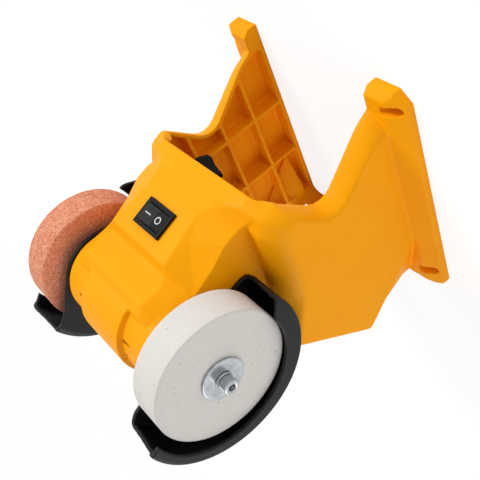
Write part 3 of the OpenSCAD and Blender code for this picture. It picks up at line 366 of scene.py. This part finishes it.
def bonded_grit_group():
    """Bonded abrasive: cells of grit in slightly different shades under slow clouds, pores
    between the cells, and rare coloured specks of uneven size."""
    group, given, out = new_group(
        "bonded_grit",
        {"Place": ("Vector", None), "Color": ("Color", None), "Dark": ("Color", None),
         "Speck": ("Color", None), "Grit Scale": ("Float", 2200.0),
         "Speck Scale": ("Float", 230.0), "Speck Share": ("Float", 0.12),
         "Contrast": ("Float", 0.5)},
        {"Color": "Color", "Height": "Float", "Roughness": "Float"})
    place = given["Place"]
    cells = add(group, "TexVoronoi", {"Vector": place, "Scale": given["Grit Scale"]})
    shade = add(group, "SeparateColor", {0: cells.outputs["Color"]}).outputs[0]
    cloud = noise(group, place, scale=140.0, detail=4.0, roughness=0.6)
    cloud = stretch(group, cloud, 0.3, 0.7, to_high=CLOUD_WEIGHT)
    tone = math_node(group, "ADD", math_node(group, "MULTIPLY", shade, CELL_WEIGHT), cloud)
    share = math_node(group, "MULTIPLY", given["Contrast"], tone)
    grit = mix(group, share, given["Color"], given["Dark"])
    spots = add(group, "TexVoronoi", {"Vector": place, "Scale": given["Speck Scale"]})
    pick = add(group, "SeparateColor", {0: spots.outputs["Color"]})
    size = math_node(group, "MULTIPLY", pick.outputs[1], SPECK_SIZE)
    near = math_node(group, "LESS_THAN", spots.outputs["Distance"], size)
    chosen = math_node(group, "LESS_THAN", pick.outputs[0], given["Speck Share"])
    speck = math_node(group, "MULTIPLY", near, chosen)
    speck = math_node(group, "MULTIPLY", speck, SPECK_STRENGTH)
    group.links.new(mix(group, speck, grit, given["Speck"]), out["Color"])
    pores = stretch(group, cells.outputs["Distance"], 0.0, 0.6, to_low=1.0, to_high=0.0)
    crumbs = noise(group, place, scale=700.0, detail=3.0)
    group.links.new(math_node(group, "ADD", pores, crumbs), out["Height"])
    group.links.new(stretch(group, shade, 0.0, 1.0, to_low=0.78, to_high=0.98), out["Roughness"])
    return group


def worked_metal_group():
    """Metal turned about the spindle: fine rings whose tone follows the radius and X, over slow
    clouds of plating."""
    group, given, out = new_group(
        "worked_metal",
        {"Place": ("Vector", None), "Color": ("Color", None), "Dark": ("Color", None),
         "Roughness": ("Float", 0.3), "Spread": ("Float", 0.15), "Ring Scale": ("Float", 3000.0)},
        {"Color": "Color", "Roughness": "Float", "Height": "Float"})
    axes = add(group, "SeparateXYZ", {0: given["Place"]}).outputs
    flat = add(group, "CombineXYZ", {1: axes[1], 2: axes[2]})
    radius = add(group, "VectorMath", {0: flat.outputs[0]}, operation="LENGTH").outputs["Value"]
    lines = add(group, "CombineXYZ", {0: axes[0], 1: radius})
    turned = noise(group, lines.outputs[0], given["Ring Scale"], detail=2.0, roughness=0.6)
    cloud = noise(group, given["Place"], scale=260.0, detail=4.0, roughness=0.6)
    share = math_node(group, "ADD", stretch(group, turned, 0.3, 0.7, to_high=0.35),
                      stretch(group, cloud, 0.4, 0.75, to_high=0.5))
    group.links.new(mix(group, share, given["Color"], given["Dark"]), out["Color"])
    change = math_node(group, "MULTIPLY", given["Spread"], cloud)
    group.links.new(math_node(group, "ADD", given["Roughness"], change), out["Roughness"])
    group.links.new(turned, out["Height"])
    return group


def new_finish(name, group, values, bump, distance, centre=(0.0, 0.0, 0.0), **sockets):
    """A material: a Principled shader fed by one of the groups, with the group's height as a bump
    of a strength and a distance in millimetres. centre moves the pattern, in metres."""
    finish = bpy.data.materials.new(name)
    finish.use_nodes = True
    tree = finish.node_tree
    shader = tree.nodes["Principled BSDF"]
    for key, value in sockets.items():
        shader.inputs[key.replace("_", " ")].default_value = value
    own_place = add(tree, "TexCoord").outputs["Object"]
    place = add(tree, "Mapping", {"Vector": own_place, "Location": centre}).outputs[0]
    worked = add(tree, "Group", node_tree=group)
    tree.links.new(place, worked.inputs["Place"])
    for key, value in values.items():
        worked.inputs[key].default_value = value
    tree.links.new(worked.outputs["Color"], shader.inputs["Base Color"])
    tree.links.new(worked.outputs["Roughness"], shader.inputs["Roughness"])
    lift = add(tree, "Bump", {"Height": worked.outputs["Height"], "Strength": bump,
                              "Distance": distance * MM})
    tree.links.new(lift.outputs[0], shader.inputs["Normal"])
    return finish


def plastic(name, colour, mottled, roughness, spread=0.08, grain=2200.0, bump=0.25,
            distance=0.05, **sockets):
    """A moulded plastic."""
    return new_finish(name, grain_group, {
        "Color": srgb(*colour), "Mottled": srgb(*mottled), "Roughness": roughness,
        "Spread": spread, "Grain Scale": grain}, bump, distance, **sockets)


def metal(name, colour, dark, roughness, spread=0.15, ring_scale=3000.0, bump=0.2,
          distance=0.02):
    """A worked metal, whose rings turn about the spindle."""
    return new_finish(name, metal_group, {
        "Color": srgb(*colour), "Dark": srgb(*dark), "Roughness": roughness, "Spread": spread,
        "Ring Scale": ring_scale}, bump, distance, SPINDLE_CENTRE, Metallic=1.0)


def abrasive(name, colour, dark, speck, grit, speck_scale, speck_share, contrast, bump, distance):
    """A bonded abrasive."""
    return new_finish(name, grit_group, {
        "Color": srgb(*colour), "Dark": srgb(*dark), "Speck": srgb(*speck), "Grit Scale": grit,
        "Speck Scale": speck_scale, "Speck Share": speck_share, "Contrast": contrast},
        bump, distance)


# Where the metals' rings are centred, in metres, as a Mapping node takes it
SPINDLE_CENTRE = (0.0, -AXLE_Y * MM, -AXLE_H * MM)

# Finishes, by the name of the record's slot; colours are screen values

grain_group, grit_group, metal_group = (
    moulded_grain_group(), bonded_grit_group(), worked_metal_group())

PLASTICS = {
    "housing_plastic": dict(colour=(255, 169, 0), mottled=(253, 164, 0), roughness=0.5,
                            spread=0.1, bump=0.18, Specular_IOR_Level=0.1),
    "guard_plastic": dict(colour=(20, 19, 20), mottled=(15, 14, 15), roughness=0.46, spread=0.14,
                          grain=1600.0, bump=0.4, distance=0.06, Specular_IOR_Level=0.2),
    "switch_plastic": dict(colour=(18, 18, 19), mottled=(14, 14, 15), roughness=0.36, spread=0.1,
                           grain=3000.0, bump=0.15, distance=0.03, Specular_IOR_Level=0.12),
    "dock_plastic": dict(colour=(12, 11, 12), mottled=(9, 8, 9), roughness=0.5, spread=0.12,
                         Specular_IOR_Level=0.06),
    "end_bell_plastic": dict(colour=(38, 40, 44), mottled=(30, 31, 34), roughness=0.5),
    "fan_plastic": dict(colour=(70, 72, 76), mottled=(60, 61, 64), roughness=0.5),
    "bush_plastic": dict(colour=(44, 44, 46), mottled=(36, 36, 38), roughness=0.55),
    "red_insulation": dict(colour=(176, 24, 20), mottled=(156, 18, 16), roughness=0.4),
    "black_insulation": dict(colour=(26, 26, 28), mottled=(20, 20, 22), roughness=0.4),
    "ferrite": dict(colour=(52, 50, 50), mottled=(40, 39, 40), roughness=0.7, spread=0.2,
                    grain=1400.0, bump=0.5, distance=0.1),
    "carbon": dict(colour=(40, 40, 42), mottled=(28, 28, 30), roughness=0.62, spread=0.2,
                   grain=2600.0, bump=0.5, distance=0.06),
}
ABRASIVES = {
    "white_abrasive": dict(colour=(224, 220, 215), dark=(202, 196, 189), speck=(160, 112, 96),
                           grit=2600.0, speck_scale=360.0, speck_share=0.14, contrast=0.5,
                           bump=0.5, distance=0.1),
    "pink_abrasive": dict(colour=(244, 176, 142), dark=(190, 88, 50), speck=(252, 222, 204),
                          grit=1700.0, speck_scale=520.0, speck_share=0.3, contrast=0.85,
                          bump=0.8, distance=0.2),
}
METALS = {
    "plated_steel": dict(colour=(196, 199, 202), dark=(134, 138, 142), roughness=0.16,
                         spread=0.16),
    "turned_steel": dict(colour=(196, 198, 202), dark=(160, 162, 168), roughness=0.24,
                         spread=0.14),
    "bearing_steel": dict(colour=(206, 208, 212), dark=(176, 178, 184), roughness=0.14,
                          spread=0.08),
    "can_steel": dict(colour=(150, 154, 160), dark=(120, 124, 130), roughness=0.34, spread=0.14),
    "core_steel": dict(colour=(120, 122, 128), dark=(84, 86, 92), roughness=0.42, spread=0.16,
                       ring_scale=6000.0, bump=0.5),
    "spring_steel": dict(colour=(180, 182, 188), dark=(150, 152, 158), roughness=0.26),
    "dark_screws": dict(colour=(60, 60, 64), dark=(40, 40, 44), roughness=0.38),
    "contact_brass": dict(colour=(214, 176, 92), dark=(186, 146, 70), roughness=0.26),
    "copper": dict(colour=(208, 124, 82), dark=(168, 90, 56), roughness=0.32),
}
finishes = {name: make(name, **look)
            for make, looks in ((plastic, PLASTICS), (abrasive, ABRASIVES), (metal, METALS))
            for name, look in looks.items()}
switch_mark = plastic("switch_mark", (226, 227, 228), (214, 215, 216), roughness=0.45,
                      spread=0.05, grain=3000.0, bump=0.1, distance=0.02)

for part in parts.values():
    for place in part.material_slots:
        place.material = finishes[place.material.name.split(".")[0]]


# Mouldings

# Where the housing's shoulders run soft, each as where it begins and where it is full: how far a
# face looks outwards along X, how far out it is, and its height from below and from above, in
# millimetres. Elsewhere the softness is the least.
SHOULDER_FACING = (0.02, 0.3)
SHOULDER_OUT = (49.0, 52.5)
SHOULDER_BOTTOM, SHOULDER_TOP = (24.0, 36.0), (104.0, 110.0)
LEAST_SOFT = 0.12


def housing_softness(points, normals):
    """1 on the outer bevels and sides of the shoulders, away from their inner edge and above the
    feet, where the moulding runs soft; least on the front body, ribs, feet, vents and openings.
    It is the product of smooth steps in facing, in X and in height."""
    x, y, z = points.T
    facing = ramp(normals[:, 0] * np.sign(x), *SHOULDER_FACING)
    away = facing * ramp(np.abs(x), *SHOULDER_OUT)
    shoulder = away * ramp(z, *SHOULDER_BOTTOM) * (1 - ramp(z, *SHOULDER_TOP))
    return np.clip(np.maximum(LEAST_SOFT, shoulder), 0, 1)


softened("main_housing", "housing_moulding", "housing", "housing_plastic",
         cell=0.6, passes=16, triangles=190000, softness=housing_softness)
softened("rear_cover", "rear_cover_moulding", "housing", "housing_plastic",
         cell=0.6, passes=4, triangles=90000)
for side in ("left", "right"):
    softened(f"wheel_guard_{side}", f"wheel_guard_{side}_moulding", "housing", "guard_plastic",
             cell=0.4, passes=6, triangles=120000)
softened("battery_dock", "battery_dock_moulding", "housing", "dock_plastic",
         cell=0.5, passes=3, triangles=90000)
softened("switch_body", "switch_bezel", "housing", "switch_plastic",
         cell=0.18, passes=3, triangles=60000)


# Wheels

WHEEL_SEGMENTS = 360
FACE_RINGS, RIM_RINGS, BORE_RINGS, EDGE_STEPS = 16, 12, 6, 7
# Waves in each sum, the fewest and most of them round the turn, how many times finer the grit's
# waves are, and their turn in radians for a millimetre of X
WAVES, FEWEST_WAVES, MOST_WAVES = 14, 5, 60
GRIT_FINER, GRIT_DRIFT = 7, 90
# How far the crumbling reaches from a rim's edge and how far inside the rim it is centred, in
# millimetres, and the weights of its even part and of the grit's waves, and its most
CRUMBLE_REACH, CRUMBLE_INSIDE = 0.8, 0.3
CRUMBLE_EVEN, CRUMBLE_GRIT, CRUMBLE_MOST = 0.6, 0.6, 2


def wheel(name, node, slot, side, seed, roughen):
    """A grinding wheel: a closed profile from the bore over both faces and the rounded rim edges,
    carried round the spindle. Its edges wander by the mean of a few waves round the turn, as a
    dressed stone's do. Each wave is a cosine of the turn with its own count and phase, and a bell
    curve of the distance from the edge fades them. side is -1 or 1 along X, and roughen is the
    depth in millimetres."""
    draw = np.random.default_rng(seed)
    counts = draw.integers(FEWEST_WAVES, MOST_WAVES, WAVES)
    phases = draw.uniform(0, 2 * np.pi, (2, WAVES))
    face = np.linspace(WHEEL_BORE_R, WHEEL_R - WHEEL_EDGE, FACE_RINGS)[:-1]
    rim = np.linspace(WHEEL_IN + WHEEL_EDGE, WHEEL_OUT - WHEEL_EDGE, RIM_RINGS)[1:-1]
    bore = np.linspace(WHEEL_OUT, WHEEL_IN, BORE_RINGS)[1:-1]
    inner, outer = WHEEL_IN + WHEEL_EDGE, WHEEL_OUT - WHEEL_EDGE
    middle = WHEEL_R - WHEEL_EDGE
    profile = np.concatenate([
        at_x(WHEEL_IN, face), arc((inner, middle), WHEEL_EDGE, 180, 90, EDGE_STEPS),
        at_radius(rim, WHEEL_R), arc((outer, middle), WHEEL_EDGE, 90, 0, EDGE_STEPS),
        at_x(WHEEL_OUT, face[::-1]), at_radius(bore, WHEEL_BORE_R)])

    def bell(distance):
        return np.exp(-(distance / CRUMBLE_REACH) ** 2)

    def wander(x, r, turn):
        wave = sum(np.cos(c * turn + p) for c, p in zip(counts, phases[0])) / WAVES
        grit = sum(np.cos(GRIT_FINER * c * turn + p + GRIT_DRIFT * x)
                   for c, p in zip(counts, phases[1])) / WAVES
        edge = bell(r - WHEEL_R + CRUMBLE_INSIDE) * (bell(x - WHEEL_IN) + bell(x - WHEEL_OUT))
        depth = (CRUMBLE_EVEN + wave + CRUMBLE_GRIT * grit).clip(0, CRUMBLE_MOST)
        return x, r - roughen * edge * depth

    points, faces = lathe(profile, WHEEL_SEGMENTS, wander)
    points[:, 0] *= side
    piece = new_piece(name, points, outwards(points, faces), "spindle", slot, WHEEL_SMOOTH)
    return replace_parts(piece, node)


wheel("white_wheel_stone", "white_wheel", "white_abrasive", side=-1, seed=3, roughen=0.12)
wheel("pink_wheel_stone", "pink_wheel", "pink_abrasive", side=1, seed=8, roughen=0.22)


# Outer washers, spring lock washers and spindle screws, at both ends of the spindle

# Segments round a washer, the radius of its punched edge, the breaks of its other edge and of
# its hole, and the rings on its outer face
WASHER_SEGMENTS, WASHER_ROUND, WASHER_BREAK, HOLE_BREAK = 128, 0.4, 0.1, 0.2
WASHER_FACE_RINGS = (9.5, 7.5, 5.5, 4.0)


def outer_washers():
    """Stamped washers: a closed section whose outer edge is rounded on the outer face, as the
    punch leaves it, and barely broken on the other, carried round the spindle."""
    edge = arc((WASHER_OUT - WASHER_ROUND, WASHER_R - WASHER_ROUND), WASHER_ROUND, 90, 0, 6)
    section = [(WHEEL_OUT, SCREW_HOLE_R + WASHER_BREAK), (WHEEL_OUT, WASHER_R - WASHER_BREAK),
               (WHEEL_OUT + WASHER_BREAK, WASHER_R), *edge,
               *[(WASHER_OUT, r) for r in WASHER_FACE_RINGS],
               (WASHER_OUT, SCREW_HOLE_R + HOLE_BREAK), (WASHER_OUT - HOLE_BREAK, SCREW_HOLE_R)]
    piece = new_piece("stamped_washers", *both_sides(*lathe(section, WASHER_SEGMENTS)),
                      "spindle", "plated_steel", HARDWARE_SMOOTH)
    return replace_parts(piece, "outer_washers")


# Sections along a lock washer's wire, the break of the wire's corners, how far its two ends
# stand apart along X, and where its turn begins and how far it goes, in degrees
LOCK_STEPS, LOCK_BREAK, LOCK_SPRUNG = 97, 0.22, 0.2
LOCK_FROM, LOCK_TURN = 24, 346


def lock_washers():
    """Split spring washers: a section of nearly square wire with broken corners, carried from one
    cut face to the other. Its thin ends stand apart along X, by a straight rise of X with the
    turn."""
    low, high, broken = SCREW_HOLE_R, LOCK_R, LOCK_BREAK
    section = np.array([(0, low + broken), (0, high - broken), (broken, high),
                        (1 - broken, high), (1, high - broken), (1, low + broken),
                        (1 - broken, low), (broken, low)])
    corners = len(section)
    turn = np.radians(np.linspace(LOCK_FROM, LOCK_FROM + LOCK_TURN, LOCK_STEPS))[:, None]
    rise = np.linspace(0, LOCK_SPRUNG, LOCK_STEPS)[:, None]
    x = WASHER_OUT + section[None, :, 0] * (LOCK_OUT - WASHER_OUT - LOCK_SPRUNG) + rise
    points = round_spindle(x, np.repeat(section[None, :, 1], LOCK_STEPS, 0), turn)
    sides = [tuple(f) for f in grid_faces(LOCK_STEPS, corners, False, True)]
    ends = [tuple(range(corners))[::-1], tuple(range(len(points) - corners, len(points)))]
    piece = new_piece("split_lock_washers", *both_sides(points, outwards(points, sides + ends)),
                      "spindle", "plated_steel", HARDWARE_SMOOTH)
    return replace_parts(piece, "lock_washers")


# Segments round a screw; the thread's pitch and depth and the step between its rings; the taper
# of its tip; the break of the head's lower edge and the radius of its crown; and the socket's
# mouth: the radius of the flat round it, how far its corners flare, and how deep the flare goes
SCREW_SEGMENTS, THREAD_PITCH, THREAD_DEPTH, THREAD_STEP = 72, 0.8, 0.42, 0.1
TAPER = 0.8
HEAD_BREAK, CROWN_R = 0.3, 0.7
MOUTH_R, MOUTH_FLARE, MOUTH_DEPTH = 3.1, 0.62, 0.25


def spindle_screws():
    """Socket-head screws, one closed surface from the thread's tip to the socket's floor. The
    thread's radius is a triangle wave of X less the turn times the pitch, and inside the socket
    the radius is the flat's distance over the cosine of the turn within a sixth of the round."""
    tip = [(SCREW_TIP, 0.0), (SCREW_TIP, SCREW_R - TAPER), (SCREW_TIP + 0.5, SCREW_R - 0.35)]
    thread = [(x, SCREW_R) for x in np.arange(SCREW_TIP + TAPER, WHEEL_OUT - 1.0, THREAD_STEP)]
    bearing = [(WHEEL_OUT, SCREW_R), (LOCK_OUT, SCREW_R), (LOCK_OUT, HEAD_R - HEAD_BREAK),
               (LOCK_OUT + HEAD_BREAK, HEAD_R)]
    side = [(x, HEAD_R) for x in np.linspace(LOCK_OUT + 0.8, HEAD_OUT - 1.1, 6)]
    crown = list(map(tuple, arc((HEAD_OUT - CROWN_R, HEAD_R - CROWN_R), CROWN_R, 90, 0, 7)))
    mouth = [(HEAD_OUT, MOUTH_R), (HEAD_OUT, SOCKET_FLAT + MOUTH_FLARE),
             (HEAD_OUT - MOUTH_DEPTH, SOCKET_FLAT)]
    bottom = HEAD_OUT - SOCKET_DEPTH
    wall = [(x, SOCKET_FLAT) for x in np.linspace(HEAD_OUT - 0.7, bottom + 0.4, 5)]
    floor = [(bottom + 0.25, SOCKET_FLAT - 0.3), (bottom, 0.0)]
    profile = np.array(tip + thread + bearing + side + crown + mouth + wall + floor)
    first_in_socket = len(tip + thread + bearing + side + crown) + 2

    def shape(x, r, turn):
        rows = np.arange(1, len(profile) - 1)[:, None]
        sixth = (turn + np.pi / 6) % (np.pi / 3) - np.pi / 6
        hexagon = np.where(rows >= first_in_socket, 1 / np.cos(sixth), 1.0)
        threaded = (rows >= len(tip)) & (rows < len(tip + thread))
        wave = np.abs(2 * ((x / THREAD_PITCH - turn / (2 * np.pi)) % 1) - 1)
        return x, np.where(threaded, r - THREAD_DEPTH * wave, r * hexagon)

    points, faces = turned_solid(profile, SCREW_SEGMENTS, shape)
    piece = new_piece("socket_head_screws", *both_sides(points, faces), "spindle",
                      "plated_steel", HARDWARE_SMOOTH)
    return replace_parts(piece, "spindle_screws")


outer_washers()
lock_washers()
spindle_screws()


# Switch

def on_panel(points):
    """Points of the switch's own frame, in millimetres, brought to the object's: Z leans out from
    the panel, so a point turns about X by a right angle less the panel's tilt, and then moves."""
    a = math.radians(90 - PANEL_TILT)
    x, y, z = np.asarray(points, float).T
    return np.stack([x, SWITCH_Y + y * math.cos(a) - z * math.sin(a),
                     SWITCH_Z + y * math.sin(a) + z * math.cos(a)], 1)


def on_rocker(points, side):
    """Points [along, across, up] on one of the rocker's two faces, brought to the object's frame.
    A face rises from the middle by twice the swing on the side that stands out (side 1), and
    lies level on the side that is pressed (side -1); along runs away from the middle."""
    along, across, up = np.asarray(points, float).T
    a = math.radians(2 * ROCKER_SWING if side > 0 else 0.0)
    crest = ROCKER_RISE * math.cos(math.radians(ROCKER_SWING))
    lean = ROCKER_RISE * math.sin(math.radians(ROCKER_SWING))
    x = side * (along * math.cos(a) - up * math.sin(a)) - lean
    z = ROCKER_PIVOT + crest + along * math.sin(a) + up * math.cos(a)
    return on_panel(np.stack([x, across, z], 1))


# The marks' section [across, up], a low arch rooted in the rocker's face; where the bar begins
# and ends along the face; and how far out the ring's middle is, and its radius
MARK_ARCH = np.array([(-0.28, -0.2), (-0.28, 0.03), (-0.15, 0.06),
                      (0.15, 0.06), (0.28, 0.03), (0.28, -0.2)])
BAR_FROM, BAR_TO, BAR_STEPS = 2.6, 6.4, 9
RING_PLACE, RING_R, RING_SEGMENTS = 3.5, 1.8, 48


def printed_mark(name, points, faces, side):
    """A mark on one of the rocker's faces, a little proud of it."""
    placed = on_rocker(points, side)
    return new_piece(name, placed, outwards(placed, faces), "rocker", "switch_plastic",
                     HARDWARE_SMOOTH, switch_mark)


def rocker_marks():
    """The plain on and off marks: a bar, whose section is a low arch carried along its length, and
    a ring, whose section is the same arch carried round a circle."""
    corners = len(MARK_ARCH)
    across, up = MARK_ARCH.T
    along = np.repeat(np.linspace(BAR_FROM, BAR_TO, BAR_STEPS), corners)
    bar = np.stack([along, np.tile(across, BAR_STEPS), np.tile(up, BAR_STEPS)], 1)
    sides = [tuple(f) for f in grid_faces(BAR_STEPS, corners, False, True)]
    ends = [tuple(range(corners)), tuple(range(len(bar) - corners, len(bar)))[::-1]]
    printed_mark("rocker_on_mark", bar, sides + ends, 1)
    turn = np.linspace(0, 2 * np.pi, RING_SEGMENTS, endpoint=False)[:, None]
    r = RING_R + across[None, :]
    ring = np.stack([RING_PLACE + r * np.cos(turn), r * np.sin(turn),
                     np.repeat(up[None, :], RING_SEGMENTS, 0)], -1).reshape(-1, 3)
    printed_mark("rocker_off_mark", ring, grid_faces(RING_SEGMENTS, corners, True, True), -1)


softened("switch_rocker", "rocker_paddle", "rocker", "switch_plastic",
         cell=0.14, passes=4, triangles=60000)
rocker_marks()


# Stage, lights, background

# Half the floor's side in metres, the share of the paper's seen colour that is plain white and
# its level, the world's light, and each lamp's name, the way towards it, its strength on a face
# turned to it, and its spread in degrees
FLOOR_HALF = 12.0
PAPER_GLOW, PAPER_LEVEL = 0.74, 1.1
SKY_LEVEL = 0.52
LAMPS = (("key_lamp", (0.42, -0.78, 0.46), 0.6, 22.0),
         ("rear_lamp", (-0.56, 0.72, 0.4), 0.3, 40.0))


def seen_share(tree):
    """1 for rays from the camera, and for those off glossy and through clear surfaces, else 0."""
    path = add(tree, "LightPath").outputs
    mirrored = math_node(tree, "MAXIMUM", path["Is Glossy Ray"], path["Is Transmission Ray"])
    return math_node(tree, "MAXIMUM", path["Is Camera Ray"], mirrored)


def paper_floor():
    """A flat square of white paper that runs back past the view. Part of what is seen of it is
    plain white of its own, so that it clips to white and keeps only a faint shadow."""
    h = FLOOR_HALF
    floor = bpy.data.meshes.new("floor")
    floor.from_pydata([(-h, -h, 0), (h, -h, 0), (h, h, 0), (-h, h, 0)], [], [(0, 1, 2, 3)])
    ground = bpy.data.objects.new("floor", floor)
    scene.collection.objects.link(ground)
    paper = bpy.data.materials.new("floor_paper")
    paper.use_nodes = True
    tree = paper.node_tree
    shader = tree.nodes["Principled BSDF"]
    clouds = noise(tree, add(tree, "TexCoord").outputs["Object"], scale=3.0, detail=2.0)
    tone = mix(tree, stretch(tree, clouds, 0.3, 0.7), srgb(250, 250, 250), srgb(248, 248, 248))
    tree.links.new(tone, shader.inputs["Base Color"])
    shader.inputs["Roughness"].default_value = 0.9
    shader.inputs["Specular IOR Level"].default_value = 0.1
    glow = add(tree, "Emission", {"Color": (1, 1, 1, 1), "Strength": PAPER_LEVEL})
    share = math_node(tree, "MULTIPLY", seen_share(tree), PAPER_GLOW)
    seen = add(tree, "MixShader", {0: share, 1: shader.outputs[0], 2: glow.outputs[0]})
    tree.links.new(seen.outputs[0], tree.nodes["Material Output"].inputs[0])
    floor.materials.append(paper)


def lamps():
    """Wide, far lamps: a key from the front and a weaker one from behind. A sun's energy is the
    strength times pi, so a white face turned to a lamp of strength 1 renders white."""
    for name, towards, strength, spread in LAMPS:
        light = bpy.data.lights.new(name, "SUN")
        light.energy = strength * math.pi
        light.angle = math.radians(spread)
        held = bpy.data.objects.new(name, light)
        scene.collection.objects.link(held)
        held.location = Vector(towards)
        held.rotation_mode = "QUATERNION"
        held.rotation_quaternion = (-Vector(towards)).to_track_quat("-Z", "Y")


def pale_world():
    """A plain pale world, which is white where it is seen and lights the object less."""
    world = bpy.data.worlds.new("studio")
    scene.world = world
    world.use_nodes = True
    tree = world.node_tree
    tree.nodes.clear()
    level = stretch(tree, seen_share(tree), 0.0, 1.0, to_low=SKY_LEVEL, to_high=1.0)
    sky = add(tree, "Background", {"Color": (1, 1, 1, 1), "Strength": level})
    out = tree.nodes.new("ShaderNodeOutputWorld")
    tree.links.new(sky.outputs[0], out.inputs[0])


paper_floor()
lamps()
pale_world()
aim_camera()
scene.view_settings.view_transform = "Standard"
